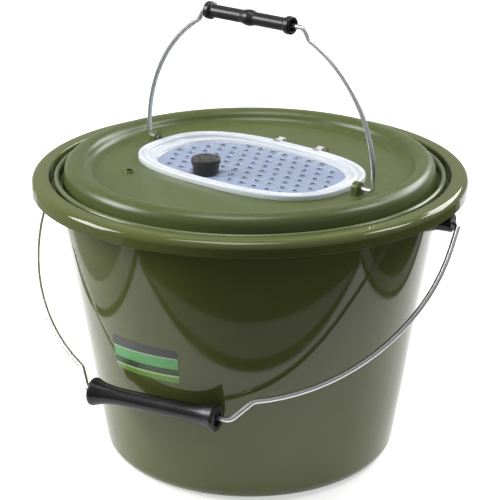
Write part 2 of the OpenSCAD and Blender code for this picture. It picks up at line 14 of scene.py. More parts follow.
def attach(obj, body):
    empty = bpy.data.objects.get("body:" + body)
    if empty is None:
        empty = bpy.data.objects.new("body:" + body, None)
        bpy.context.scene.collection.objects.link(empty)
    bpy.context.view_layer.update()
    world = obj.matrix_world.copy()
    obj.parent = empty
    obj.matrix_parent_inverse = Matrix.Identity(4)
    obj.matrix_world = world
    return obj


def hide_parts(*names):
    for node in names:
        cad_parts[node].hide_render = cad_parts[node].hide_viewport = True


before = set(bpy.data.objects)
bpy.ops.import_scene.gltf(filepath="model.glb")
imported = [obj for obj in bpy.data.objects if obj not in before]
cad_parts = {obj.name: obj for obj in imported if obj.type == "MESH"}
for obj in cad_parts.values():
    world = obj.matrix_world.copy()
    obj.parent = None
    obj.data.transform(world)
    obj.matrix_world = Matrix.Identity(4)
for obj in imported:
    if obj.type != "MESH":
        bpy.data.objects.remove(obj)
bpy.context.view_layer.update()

MM = 0.001
TURN = 2 * pi


def placed(*place):
    return Matrix.Translation(place)


def spun(axis, angle):
    return Matrix.Rotation(angle, 4, axis)


# ---- sizes repeated from the part's source, in millimetres ----

BUCKET_H, RIM_R, WALL_TAPER, WALL_T, FLOOR_T = 242, 178, 9, 2.2, 2.6
BASE_ROUND, FOOT_H, FOOT_W = 21, 3, 5
SHOULDER_W, SHOULDER_DEPTH, RIM_W, COLLAR_H, RIM_ROUND = 9.2, 13, 14.4, 12, 6
RIM_RIBS, RIB_T = 24, 1.6
LIP_GAP, LIP_BEAD, LIP_DROP, BASKET_T, BASKET_GAP = 3.8, 4.3, 0.6, 1.8, 3
SUMP_H, BASKET_ROUND, DRAIN_D, DRAIN_RINGS, DRAIN_PITCH = 40, 14, 6, 5, 19
WALL_ROWS, WALL_HOLES, ROW_PITCH = 4, 24, 22
LID_T, LID_GROOVE, FLANGE_PLAY, FLANGE_T = 2.2, 2.5, 0.5, 2
DOME_RISE, DOME_FLAT, DOME_ROUND, DOME_LEAN, PLATE_RISE = 10.5, 1.5, 9, 1.5, 1
SKIRT_H, SKIRT_GAP, LID_TURN = 9, 0.8, -14
HATCH_A, HATCH_B, HATCH_N, HATCH_H, HATCH_T = 99.8, 62.4, 2.72, 4.6, 2
CHANNEL_W, KERB_PLAY, WELL_DEPTH = 4, 0.6, 5.5
END_STEP, SIDE_STEP, STEP_H, AIR_D, AIR_PITCH = 9, 2, 2.2, 4.2, 13
HINGE_BACK, HINGE_L, KNUCKLE_D, KNUCKLE_W, HINGE_LUG_W, PIN_D, KNUCKLE_PLAY = (
    5, 49, 5, 6, 4, 2.4, 0.4)
BUNG_U, BUNG_V, BUNG_HEAD_D, BUNG_HEAD_H = -18, -34, 24, 4.5
BUNG_FOOT_D, BUNG_BODY_H, PLUG_D, PLUG_REACH = 20, 9, 13, 4
BOSS_U, BOSS_V, BOSS_D, BOSS_H, AIR_LINE_D = -66, -73, 10, 2, 6
BAIL_WIRE_D, BAIL_REACH, PIVOT_DROP, BAIL_CLEAR, BAIL_REST_GAP = 4.2, 196, 20, 1.1, 0.4
BAIL_LEG, BAIL_BEND, BAIL_SHOULDER, BAIL_SHOULDER_L, SHOULDER_BEND = 22, 4, 55, 16, 8
BAIL_STRAIGHT_L, BAIL_SHIFT = 119, -11.5
BAIL_GRIP_L, BAIL_GRIP_D, BAIL_FLARE_D, BAIL_FLARE_POWER = 112, 14, 22.5, 5.5
BAIL_CUP_D, BAIL_CUP_L = 13, 3
LUG_R, LUG_FLARE, LUG_FLARE_L, STEM_D, TIP_IN = 7.6, 2.4, 9, 8, 8
HANDLE_WIRE_D, HANDLE_PIVOT_H, HANDLE_REACH, HANDLE_LUG_GAP = 3.8, 5.6, 118.5, 1.6
HANDLE_LUG_SHIFT, HANDLE_LUG_W, HANDLE_LUG_R, HANDLE_BARE, HANDLE_BEND = 5, 6, 5, 7.6, 4
HANDLE_LEG, HANDLE_SHOULDER, HANDLE_SHOULDER_L, HANDLE_SHOULDER_BEND = 8, 60, 5, 6
HANDLE_STRAIGHT_L, HANDLE_SHIFT = 96, 3
HANDLE_GRIP_L, HANDLE_GRIP_D, HANDLE_RING_D, HANDLE_RING_W = 88, 10.6, 14.4, 5
HANDLE_SWELL_D, HANDLE_SWELL_L, HANDLE_CUP_D, HANDLE_CUP_L = 13, 14, 9.6, 5
SEAT, FIT, BORE_FIT, GRIP_GAP, LEG_GAP = 0.1, 0.08, 0.1, 0.5, 0.4

# Levels and radii that follow from them
SLOPE = tan(radians(WALL_TAPER))
SKEW = cos(radians(WALL_TAPER))
SHOULDER_Z = BUCKET_H - SHOULDER_DEPTH
GUTTER_R = RIM_R - RIM_W
WALL_TOP_R = GUTTER_R - SHOULDER_W + WALL_T / SKEW
FLOOR_Z = FOOT_H + FLOOR_T
PIVOT_Z = BUCKET_H - PIVOT_DROP
HANG_Z = SHOULDER_Z + SEAT
LIP_R = GUTTER_R - LIP_GAP
BEAD_R = LIP_R - LIP_BEAD / 2
LID_Z = HANG_Z + BASKET_T + SEAT
FLANGE_R = BEAD_R - LIP_BEAD / 2 - FLANGE_PLAY
DOME_R = LIP_R - LIP_BEAD - LID_GROOVE
DOME_Z = BUCKET_H + DOME_RISE
PLATE_Z = BUCKET_H + PLATE_RISE
HATCH_TOP_Z = PLATE_Z + HATCH_H
WELL_Z = HATCH_TOP_Z - WELL_DEPTH
STEP_Z = WELL_Z + STEP_H
WELL_IN = HATCH_T + CHANNEL_W
KERB_H = HATCH_H - HATCH_T - KERB_PLAY
KERB_IN = WELL_IN - KERB_PLAY
FLOOR_A = HATCH_A - WELL_IN - HATCH_T - END_STEP
FLOOR_B = HATCH_B - WELL_IN - HATCH_T - SIDE_STEP
HINGE_V = HATCH_B + HINGE_BACK
HINGE_Z = PLATE_Z + KNUCKLE_D / 2 + KERB_PLAY
KNUCKLE_OUT = HINGE_L / 2 - KNUCKLE_PLAY
HANDLE_LUG_IN = HATCH_A + HANDLE_LUG_GAP
HANDLE_LUG_OUT = HANDLE_LUG_IN + HANDLE_LUG_W
HANDLE_LEFT_SPAN = HANDLE_LUG_OUT + LEG_GAP + HANDLE_BEND
HANDLE_RIGHT_SPAN = HANDLE_LEFT_SPAN + HANDLE_LUG_SHIFT + HANDLE_BARE
HANDLE_GRIP_X = HANDLE_SHIFT - (HANDLE_STRAIGHT_L - HANDLE_GRIP_L) / 2 + GRIP_GAP
HANDLE_Z = PLATE_Z + HANDLE_PIVOT_H
BAIL_SPAN = RIM_R + BAIL_CLEAR + BAIL_WIRE_D / 2
LUG_OUT = BAIL_SPAN - BAIL_BEND - LEG_GAP
STEM_OUT = LUG_OUT - TIP_IN - LEG_GAP


def wall_r(z):
    """Outside radius of the bucket's wall at height z"""
    return WALL_TOP_R - (SHOULDER_Z - z) * SLOPE


def wall_in_r(z):
    return wall_r(z) - WALL_T / SKEW


def basket_r(z):
    return wall_in_r(z) - BASKET_GAP


def basket_in_r(z):
    return basket_r(z) - BASKET_T / SKEW


REST_R = wall_r(PIVOT_Z) + (BAIL_GRIP_D / 2 + BAIL_REST_GAP) / SKEW
BAIL_HANG = radians(WALL_TAPER) + acos(SKEW * REST_R / BAIL_REACH)
GRIP_X = BAIL_SHIFT - (BAIL_STRAIGHT_L - BAIL_GRIP_L) / 2 + GRIP_GAP

ON_LID = spun("Z", radians(LID_TURN))
IN_BAIL = placed(0, 0, PIVOT_Z) @ spun("X", pi + BAIL_HANG)
IN_HANDLE = ON_LID @ placed(0, 0, HANDLE_Z) @ spun("X", pi / 2)

# ---- node trees ----


class Graph:
    """Lays out a node tree: each call adds one node and links or sets its inputs."""

    def __init__(self, tree):
        self.tree = tree

    def add(self, kind, inputs=None, **settings):
        node = self.tree.nodes.new(kind)
        node.location.x = 180 * len(self.tree.nodes)
        for key, value in settings.items():
            setattr(node, key, value)
        for key, value in (inputs or {}).items():
            self.put(node.inputs[key], value)
        return node

    def put(self, socket, value):
        if isinstance(value, bpy.types.NodeSocket):
            self.tree.links.new(value, socket)
        else:
            socket.default_value = value

    def calc(self, operation, *values):
        """One step of arithmetic"""
        return self.add("ShaderNodeMath", dict(enumerate(values)), operation=operation).outputs[0]

    def spread(self, value, low, high, to_low=0.0, to_high=1.0):
        """Maps one range of values on to another"""
        return self.add("ShaderNodeMapRange", {
            "Value": value, "From Min": low, "From Max": high, "To Min": to_low,
            "To Max": to_high}).outputs[0]

    def noise(self, place, scale, detail):
        return self.add("ShaderNodeTexNoise", {"Vector": place, "Scale": scale,
                                               "Detail": detail}).outputs["Fac"]

    def times(self, a, b):
        return self.calc("MULTIPLY", a, b)

    def fill(self, shader, **values):
        """Links or sets a shader's inputs. An underscore stands for a space in a name."""
        for name, value in values.items():
            self.put(shader.inputs[name.replace("_", " ")], value)

    def group(self, tree, **values):
        return self.add("ShaderNodeGroup", values, node_tree=tree).outputs

    def place(self):
        """The object's own coordinates"""
        return self.add("ShaderNodeTexCoord").outputs["Object"]

    def scaled(self, colour, gain):
        return self.add("ShaderNodeVectorMath", {0: colour, "Scale": gain},
                        operation="SCALE").outputs[0]

    def mixed(self, factor, a, b):
        return self.add("ShaderNodeMix", {"Factor": factor, "A": a, "B": b},
                        data_type="RGBA").outputs[2]


def group_tree(name, kind, inputs, outputs):
    """Node group with named sockets. Each socket is (name, type, value). Gives the graph, the
    sockets that bring its inputs, and the sockets that take its outputs."""
    tree = bpy.data.node_groups.new(name, kind)
    for way, sockets in (("INPUT", inputs), ("OUTPUT", outputs)):
        for label, socket_type, *value in sockets:
            socket = tree.interface.new_socket(label, in_out=way, socket_type=socket_type)
            if value:
                socket.default_value = value[0]
    g = Graph(tree)
    return g, g.add("NodeGroupInput").outputs, g.add("NodeGroupOutput").inputs


FLOAT, COLOUR, VECTOR = "NodeSocketFloat", "NodeSocketColor", "NodeSocketVector"
GEOMETRY, MATERIAL, INT = "NodeSocketGeometry", "NodeSocketMaterial", "NodeSocketInt"
GREY = (0.5, 0.5, 0.5, 1)

# ---- shader groups ----


def moulded_surface():
    """Fine orange-peel of moulded plastic with a slow drift of tone"""
    g, given, made = group_tree(
        "moulded surface", "ShaderNodeTree",
        [("Grain", FLOAT, 900.0), ("Drift", FLOAT, 0.08), ("Colour", COLOUR, GREY)],
        [("Colour", COLOUR), ("Height", FLOAT)])
    place = g.place()
    swing = g.spread(g.noise(place, 14.0, 3.0), 0.3, 0.7, -1.0, 1.0)
    gain = g.calc("MULTIPLY_ADD", swing, given["Drift"], 1.0)
    g.put(made["Colour"], g.scaled(given["Colour"], gain))
    g.put(made["Height"], g.noise(place, given["Grain"], 2.0))
    return g.tree


def handling_marks():
    """Thin scratches and dull patches from handling, as masks"""
    g, given, made = group_tree(
        "handling marks", "ShaderNodeTree",
        [("Scale", FLOAT, 60.0), ("Amount", FLOAT, 0.5)], [("Mask", FLOAT), ("Dull", FLOAT)])
    place = g.place()
    bend = g.add("ShaderNodeTexNoise", {"Vector": place, "Scale": 9.0, "Detail": 1.0})
    moved = g.add("ShaderNodeVectorMath", {0: bend.outputs["Color"], 1: (0.12, 0.12, 0.12),
                                           2: place}, operation="MULTIPLY_ADD")
    lines = g.add("ShaderNodeTexVoronoi", {"Vector": moved.outputs[0], "Scale": given["Scale"]},
                  feature="DISTANCE_TO_EDGE")
    thin = g.spread(lines.outputs["Distance"], 0.0, 0.012, 1.0, 0.0)
    where = g.spread(g.noise(place, 22.0, 5.0), 0.55, 0.72)
    g.put(made["Mask"], g.times(g.times(thin, where), given["Amount"]))
    g.put(made["Dull"], g.times(where, given["Amount"]))
    return g.tree


def dust_film():
    """Pale dust that settles on faces that look up"""
    g, given, made = group_tree(
        "dust film", "ShaderNodeTree",
        [("Amount", FLOAT, 0.1), ("Colour", COLOUR, GREY),
         ("Dust", COLOUR, (0.5, 0.48, 0.42, 1))], [("Colour", COLOUR), ("Mask", FLOAT)])
    facing = g.add("ShaderNodeSeparateXYZ",
                   {0: g.add("ShaderNodeNewGeometry").outputs["Normal"]})
    spots = g.spread(g.noise(g.place(), 260.0, 6.0), 0.45, 0.75)
    settled = g.times(g.spread(facing.outputs["Z"], 0.5, 1.0), spots)
    mask = g.times(settled, given["Amount"])
    g.put(made["Colour"], g.mixed(mask, given["Colour"], given["Dust"]))
    g.put(made["Mask"], mask)
    return g.tree


SURFACE, MARKS, DUST = moulded_surface(), handling_marks(), dust_film()

# ---- materials ----


def new_material(name):
    material = bpy.data.materials.new(name)
    material.use_nodes = True
    graph = Graph(material.node_tree)
    return material, graph, material.node_tree.nodes["Principled BSDF"]


def bump(graph, shader, height, strength, distance):
    node = graph.add("ShaderNodeBump", {"Height": height, "Strength": strength,
                                        "Distance": distance})
    graph.fill(shader, Normal=node.outputs[0])


def moulded(name, colour, gloss, grain=900.0, drift=0.06, marks=0.3, dust=0.1, depth=0.00004):
    """Moulded plastic or rubber: grain, tone drift, handling marks and a little dust"""
    material, g, shader = new_material(name)
    surface = g.group(SURFACE, Grain=grain, Drift=drift, Colour=(*colour, 1))
    marked = g.group(MARKS, Amount=marks)
    film = g.group(DUST, Amount=dust, Colour=surface["Colour"])
    scratched = (*[min(1, c * 1.7 + 0.02) for c in colour], 1)
    dull = g.calc("MULTIPLY_ADD", marked["Dull"], 0.35, gloss)
    g.fill(shader, Base_Color=g.mixed(marked["Mask"], film["Colour"], scratched),
           Roughness=g.calc("MULTIPLY_ADD", film["Mask"], 0.6, dull), IOR=1.47)
    bump(g, shader, surface["Height"], 0.35, depth)
    return material


def along_the_wire(g):
    """Fine lines along the wire, which carries its own length and turn"""
    place = g.add("ShaderNodeCombineXYZ", {
        axis: g.add("ShaderNodeAttribute", attribute_name=name).outputs["Fac"]
        for axis, name in (("X", "along"), ("Y", "around"))})
    streak = g.add("ShaderNodeMapping", {"Vector": place.outputs[0], "Scale": (40, 90, 1)})
    return g.noise(streak.outputs[0], 1.0, 3.0)


def turning_lines(g):
    return g.noise(g.place(), 2200.0, 2.0)


def bright_steel(name, lines_of, tones, roughness, strength, depth):
    """Steel whose tone and gloss vary with fine lines"""
    material, g, shader = new_material(name)
    lines = lines_of(g)
    tone = g.spread(lines, 0.3, 0.7, *tones)
    colour = g.add("ShaderNodeCombineColor", {0: tone, 1: tone, 2: tone})
    g.fill(shader, Base_Color=colour.outputs[0], Metallic=1.0,
           Roughness=g.spread(lines, 0.3, 0.7, *roughness))
    bump(g, shader, lines, strength, depth)
    return material


def milky_plastic(name, colour, clear):
    """Translucent hatch: light spreads inside it, and some of what is below shows"""
    material, g, shader = new_material(name)
    surface = g.group(SURFACE, Grain=500.0, Drift=0.05, Colour=(*colour, 1))
    marked = g.group(MARKS, Amount=0.4, Scale=110.0)
    g.fill(shader, Base_Color=surface["Colour"], IOR=1.5, Transmission_Weight=clear,
           Roughness=g.calc("MULTIPLY_ADD", marked["Dull"], 0.4, 0.16), Subsurface_Weight=0.7,
           Subsurface_Radius=(0.8, 0.9, 1.0), Subsurface_Scale=0.003)
    bump(g, shader, surface["Height"], 0.3, 0.00002)
    return material


def banded_label():
    """Plain printed bands, running along the label's own height and width"""
    material, g, shader = new_material("banded label")
    across = g.add("ShaderNodeAttribute", attribute_name="label_place").outputs["Vector"]
    part = g.add("ShaderNodeSeparateXYZ", {0: across}).outputs
    slant = g.calc("MULTIPLY_ADD", part["X"], -0.06, part["Y"])
    bands = g.add("ShaderNodeValToRGB", {"Fac": slant})
    ramp = bands.color_ramp
    ramp.interpolation = "CONSTANT"
    stops = [(0.0, (0.20, 0.42, 0.07)), (0.12, (0.55, 0.72, 0.40)), (0.17, (0.05, 0.09, 0.03)),
             (0.36, (0.16, 0.50, 0.17)), (0.66, (0.42, 0.60, 0.40)), (0.70, (0.06, 0.065, 0.06))]
    for i, (at, colour) in enumerate(stops):
        stop = ramp.elements[i] if i < 2 else ramp.elements.new(at)
        stop.position, stop.color = at, (*colour, 1)
    worn = g.spread(g.noise(across, 60.0, 4.0), 0.3, 0.8, 0.9, 1.12)
    g.fill(shader, Base_Color=g.scaled(bands.outputs["Color"], worn), Roughness=0.3)
    return material


GREEN = moulded("olive bucket plastic", (0.122, 0.140, 0.036), 0.06, drift=0.05, marks=0.12,
                dust=0.0, depth=0.00001)
LID_GREEN = moulded("olive lid plastic", (0.094, 0.119, 0.030), 0.3, grain=700.0, marks=0.3,
                    dust=0.08, depth=0.00002)
BASKET_GREEN = moulded("olive basket plastic", (0.16, 0.19, 0.09), 0.12, marks=0.15, dust=0.03,
                       depth=0.00001)
BLACK = moulded("black moulded plastic", (0.012, 0.012, 0.013), 0.3, grain=1400.0, marks=0.5,
                dust=0.05)
RUBBER = moulded("black bung rubber", (0.030, 0.030, 0.026), 0.5, grain=1800.0, marks=0.2,
                 dust=0.25)
# The hatch is one milky plastic in two copies: the frame's paler colour is painted highlight, and
# the floor's darker blue-grey is painted shade from the dark bucket inside below it
MILKY_EDGE_WITH_PAINTED_HIGHLIGHT = milky_plastic("milky hatch edge with painted highlight", (0.80, 0.84, 0.90), 0.08)
MILKY_FLOOR_WITH_PAINTED_SHADE = milky_plastic("milky hatch floor with painted shade", (0.42, 0.50, 0.68), 0.2)
STEEL = bright_steel("drawn steel", along_the_wire, (0.55, 0.78), (0.2, 0.36), 0.25, 0.00003)
PIN_STEEL = bright_steel("turned pin steel", turning_lines, (0.5, 0.7), (0.3, 0.3), 0.3, 0.00001)
LABEL = banded_label()

# ---- shaping ----


def rounded(corners, closed=False, steps=6):
    """Points round a polygon whose corners (x, y, radius) are filleted"""
    count = len(corners)
    points = []
    for i, (x, y, *radius) in enumerate(corners):
        here = Vector((x, y))
        if not radius or (not closed and i in (0, count - 1)):
            points.append(here)
            continue
        before = Vector(corners[i - 1][:2]) - here
        after = Vector(corners[(i + 1) % count][:2]) - here
        half = before.angle(after) / 2
        reach = min(radius[0] / tan(half), 0.49 * before.length, 0.49 * after.length)
        size = reach * tan(half)
        centre = here + (before.normalized() + after.normalized()).normalized() * (
            size / sin(half))
        start = here + before.normalized() * reach - centre
        end = here + after.normalized() * reach - centre
        sweep = start.angle_signed(end)
        for k in range(steps + 1):
            points.append(centre + Matrix.Rotation(-sweep * k / steps, 2) @ start)
    return [(p.x, p.y) for p in points]


def in_scene(name, data):
    """New object that holds the data"""
    thing = bpy.data.objects.new(name, data)
    bpy.context.scene.collection.objects.link(thing)
    return thing


def linked(mesh_data, name):
    """Puts a mesh in the scene as an object"""
    mesh = bpy.data.meshes.new(name)
    mesh_data.to_mesh(mesh)
    mesh_data.free()
    return in_scene(name, mesh)


def finished(mesh_data, name, material, sharp=38):
    """Merges doubles, turns faces outwards, marks sharp edges and scales to metres"""
    bmesh.ops.remove_doubles(mesh_data, verts=mesh_data.verts, dist=0.002)
    bmesh.ops.recalc_face_normals(mesh_data, faces=mesh_data.faces)
    for face in mesh_data.faces:
        face.smooth = True
    for edge in mesh_data.edges:
        edge.smooth = edge.calc_face_angle(0) < radians(sharp)
    bmesh.ops.scale(mesh_data, vec=(MM, MM, MM), verts=mesh_data.verts)
    piece = linked(mesh_data, name)
    piece.data.materials.append(material)
    weighted = piece.modifiers.new("even shading", "WEIGHTED_NORMAL")
    weighted.keep_sharp = True
    return baked(piece)


def baked(piece):
    """Turns a piece's modifiers into plain mesh"""
    graph = bpy.context.evaluated_depsgraph_get()
    mesh = bpy.data.meshes.new_from_object(piece.evaluated_get(graph), depsgraph=graph,
                                           preserve_all_data_layers=True)
    old = piece.data
    piece.modifiers.clear()
    piece.data = mesh
    bpy.data.meshes.remove(old)
    mesh.name = piece.name
    return piece


def skin(mesh_data, rings, close_rings=True):
    """Quads between rings of points; a ring of one point is a pole"""
    made = [[mesh_data.verts.new(p) for p in ring] for ring in rings]
    pairs = list(zip(made, made[1:] + made[:1] if close_rings else made[1:]))
    for a, b in pairs:
        count = max(len(a), len(b))
        for i in range(count):
            j = (i + 1) % count
            corners = [a[i % len(a)], a[j % len(a)], b[j % len(b)], b[i % len(b)]]
            corners = list(dict.fromkeys(corners))
            if len(corners) > 2:
                mesh_data.faces.new(corners)


def turned(mesh_data, profile, steps, place=Matrix()):
    """Revolves a profile of (radius, height) about Z, then places it"""
    rings = []
    for r, z in profile:
        if r < 0.001:
            rings.append([place @ Vector((0, 0, z))])
        else:
            rings.append([place @ Vector((r * cos(TURN * i / steps),
                                          r * sin(TURN * i / steps), z))
                          for i in range(steps)])
    skin(mesh_data, rings, len(rings[0]) > 1 or len(rings[-1]) > 1)


def turned_piece(name, material, profile, steps, place=Matrix()):
    """A piece that is one turned profile"""
    solid = bmesh.new()
    turned(solid, profile, steps, place)
    return finished(solid, name, material)


ALONG_X = spun("Y", pi / 2)


def oblong_r(angle, a, b):
    """Distance from the middle to the hatch-shaped outline at an angle"""
    return (abs(cos(angle) / a) ** HATCH_N + abs(sin(angle) / b) ** HATCH_N) ** (
        -1 / HATCH_N)


def oblong_loft(mesh_data, stations, steps, place=Matrix()):
    """Rings between outlines: a station is (half length, half width, height)"""
    rings = []
    for a, b, z in stations:
        if a < 0.001:
            rings.append([place @ Vector((0, 0, z))])
            continue
        ring = []
        for i in range(steps):
            angle = TURN * (i + 0.5) / steps
            r = oblong_r(angle, a, b) if b else a
            ring.append(place @ Vector((r * cos(angle), r * sin(angle), z)))
        rings.append(ring)
    skin(mesh_data, rings)


def oval(inset, z):
    """Station on the hatch's outline, or inside it"""
    return (HATCH_A - inset, HATCH_B - inset, z)


def arch_lug(mesh_data, x0, x1, r, z, y, hole_r, place, edge=0.7, steps=28):
    """Round-headed lug that stands on the lid, with its hole along X and soft edges"""
    def outline(grow):
        foot = PLATE_Z - LID_T / 2 - z
        points = [(y + (r + grow) * cos(pi * i / steps),
                   z + (r + grow) * sin(pi * i / steps)) for i in range(steps + 1)]
        return points + [(y - r - grow, z + foot), (y + r + grow, z + foot)]

    hole = [(y + hole_r * cos(pi * i / steps), z + hole_r * sin(pi * i / steps))
            for i in range(steps + 1)]
    hole += [(y - hole_r * 0.7, z - hole_r * 0.7), (y + hole_r * 0.7, z - hole_r * 0.7)]
    stations = [(x0, hole), (x0, outline(-edge)), (x0 + edge * 0.3, outline(-edge * 0.3)),
                (x0 + edge, outline(0)), (x1 - edge, outline(0)),
                (x1 - edge * 0.3, outline(-edge * 0.3)), (x1, outline(-edge)), (x1, hole)]
    skin(mesh_data, [[place @ Vector((x, *p)) for p in points] for x, points in stations])


def cut_with(piece, cutter):
    """Takes the cutter's shape out of a piece"""
    cut = piece.modifiers.new("cut", "BOOLEAN")
    cut.object, cut.operation, cut.solver = cutter, "DIFFERENCE", "EXACT"
    baked(piece)
    bpy.data.objects.remove(cutter)
    return piece


# ---- geometry trees ----


def with_tree(piece, tree, values):
    """Runs a geometry tree on a piece, with its inputs set by their identifiers"""
    modifier = piece.modifiers.new(tree.name, "NODES")
    modifier.node_group = tree
    names = {item.name: item.identifier for item in tree.interface.items_tree
             if item.in_out == "INPUT"}
    for label, value in values.items():
        modifier[names[label]] = value
    return baked(piece)


def closing(g, made, geometry, material):
    """Ends a tree in Realize Instances and Set Material"""
    real = g.add("GeometryNodeRealizeInstances", {"Geometry": geometry})
    coat = g.add("GeometryNodeSetMaterial", {"Geometry": real.outputs[0], "Material": material})
    g.put(made["Geometry"], coat.outputs[0])


def geometry_tree(name, inputs):
    return group_tree(name, "GeometryNodeTree",
                      [("Geometry", GEOMETRY), *inputs, ("Material", MATERIAL)],
                      [("Geometry", GEOMETRY)])


def noted(g, geometry, name, value):
    """Keeps a value on the points under a name"""
    return g.add("GeometryNodeStoreNamedAttribute", {
        "Geometry": geometry, "Name": name, "Value": value}, data_type="FLOAT",
        domain="POINT").outputs[0]


def bent_wire_tree():
    """Sweeps a round wire along its path, and notes the place along it and round it"""
    g, given, made = geometry_tree("bent wire", [("Radius", FLOAT, 0.002), ("Sides", INT, 24)])
    path = g.add("GeometryNodeMeshToCurve", {"Mesh": given["Geometry"]})
    along, around = (g.add("GeometryNodeSplineParameter").outputs[part]
                     for part in ("Length", "Factor"))
    ring = g.add("GeometryNodeCurvePrimitiveCircle", {"Resolution": given["Sides"],
                                                      "Radius": given["Radius"]})
    swept = g.add("GeometryNodeCurveToMesh", {
        "Curve": noted(g, path.outputs[0], "along", along),
        "Profile Curve": noted(g, ring.outputs["Curve"], "around", around), "Fill Caps": True})
    smooth = g.add("GeometryNodeSetShadeSmooth", {"Geometry": swept.outputs[0]})
    closing(g, made, smooth.outputs[0], given["Material"])
    return g.tree


def ring_of_tree():
    """Repeats a shape round the Z axis at even steps"""
    g, given, made = geometry_tree("ring of copies", [("Count", INT, 24), ("Start", FLOAT, 0.5)])
    points = g.add("GeometryNodePoints", {"Count": given["Count"]})
    place = g.calc("ADD", g.add("GeometryNodeInputIndex").outputs[0], given["Start"])
    angle = g.times(place, g.calc("DIVIDE", TURN, given["Count"]))
    spin = g.add("ShaderNodeCombineXYZ", {"Z": angle})
    copies = g.add("GeometryNodeInstanceOnPoints",
                   {"Points": points.outputs[0], "Instance": given["Geometry"],
                    "Rotation": spin.outputs[0]})
    closing(g, made, copies.outputs[0], given["Material"])
    return g.tree


def perforated_floor_tree():
    """Drills a plate on a hexagonal pattern inside an oblong outline, keeps a round place
    free for the bung, and raises a low ring round each hole"""
    g, given, made = geometry_tree(
        "perforated floor",
        [("Pitch", FLOAT, 0.013), ("Hole", FLOAT, 0.0021), ("Half Length", FLOAT, 0.08),
         ("Half Width", FLOAT, 0.05), ("Squareness", FLOAT, 2.7), ("Keep Free At", VECTOR),
         ("Keep Free Radius", FLOAT, 0.014), ("Level", FLOAT, 0.24), ("Depth", FLOAT, 0.004)])

    def here():
        return g.add("GeometryNodeInputPosition").outputs[0]

    def moved(points, **offset):
        return g.add("GeometryNodeSetPosition", {
            "Geometry": points,
            "Offset": g.add("ShaderNodeCombineXYZ", offset).outputs[0]}).outputs[0]

    def share(distance, limit):
        """How far out a point is, as a share of the outline, to the outline's power"""
        out = g.calc("ABSOLUTE", g.calc("DIVIDE", distance, limit))
        return g.calc("POWER", out, given["Squareness"])

    columns, rows, sides = 17, 9, 20
    row_step = sin(radians(60))
    ring_size, bead_size = 1.3, 0.34
    pitch = given["Pitch"]
    grid = g.add("GeometryNodeMeshGrid",
                 {"Size X": g.times(pitch, columns - 1.0),
                  "Size Y": g.times(pitch, (rows - 1) * row_step),
                  "Vertices X": columns, "Vertices Y": rows})
    row_y = g.add("ShaderNodeSeparateXYZ", {0: here()}).outputs["Y"]
    row = g.calc("ROUND", g.calc("DIVIDE", row_y, g.times(pitch, row_step)))
    odd = g.calc("ABSOLUTE", g.calc("MODULO", row, 2.0))
    shifted = moved(grid.outputs["Mesh"],
                    X=g.times(odd, g.times(pitch, 0.5)))
    at = g.add("ShaderNodeSeparateXYZ", {0: here()}).outputs
    outside = g.calc("GREATER_THAN", g.calc("ADD", share(at["X"], given["Half Length"]),
                                            share(at["Y"], given["Half Width"])), 1.0)
    away = g.add("ShaderNodeVectorMath", {0: here(), 1: given["Keep Free At"]},
                 operation="DISTANCE")
    near = g.calc("LESS_THAN", away.outputs["Value"], given["Keep Free Radius"])
    kept = g.add("GeometryNodeDeleteGeometry",
                 {"Geometry": shifted, "Selection": g.calc("MAXIMUM", outside, near)},
                 domain="POINT")
    level = moved(kept.outputs[0], Z=given["Level"])
    drill = g.add("GeometryNodeMeshCylinder",
                  {"Vertices": sides, "Radius": given["Hole"], "Depth": given["Depth"]})
    drills = g.add("GeometryNodeInstanceOnPoints", {"Points": level,
                                                    "Instance": drill.outputs["Mesh"]})
    solid_drills = g.add("GeometryNodeRealizeInstances", {"Geometry": drills.outputs[0]})
    drilled = g.add("GeometryNodeMeshBoolean", {"Mesh 1": given["Geometry"],
                                                "Mesh 2": solid_drills.outputs[0]},
                    operation="DIFFERENCE", solver="EXACT")
    ring, bead = (g.add("GeometryNodeCurvePrimitiveCircle", {
        "Resolution": count, "Radius": g.times(given["Hole"], size)}).outputs["Curve"]
        for count, size in ((sides, ring_size), (6, bead_size)))
    rim = g.add("GeometryNodeCurveToMesh", {"Curve": ring, "Profile Curve": bead})
    round_rim = g.add("GeometryNodeSetShadeSmooth", {"Geometry": rim.outputs[0]})
    rims = g.add("GeometryNodeInstanceOnPoints", {"Points": level,
                                                  "Instance": round_rim.outputs[0]})
    joined = g.add("GeometryNodeJoinGeometry")
    g.put(joined.inputs[0], drilled.outputs["Mesh"])
    g.put(joined.inputs[0], rims.outputs[0])
    closing(g, made, joined.outputs[0], given["Material"])
    return g.tree


BENT_WIRE, RING_OF, PERFORATED = bent_wire_tree(), ring_of_tree(), perforated_floor_tree()

# ---- bucket ----


def out_of_wall(side):
    """Turns +Z to point out along the bail's pivots, on the right (1) or the left (-1)"""
    return placed(0, 0, PIVOT_Z) @ spun("Y", side * pi / 2)


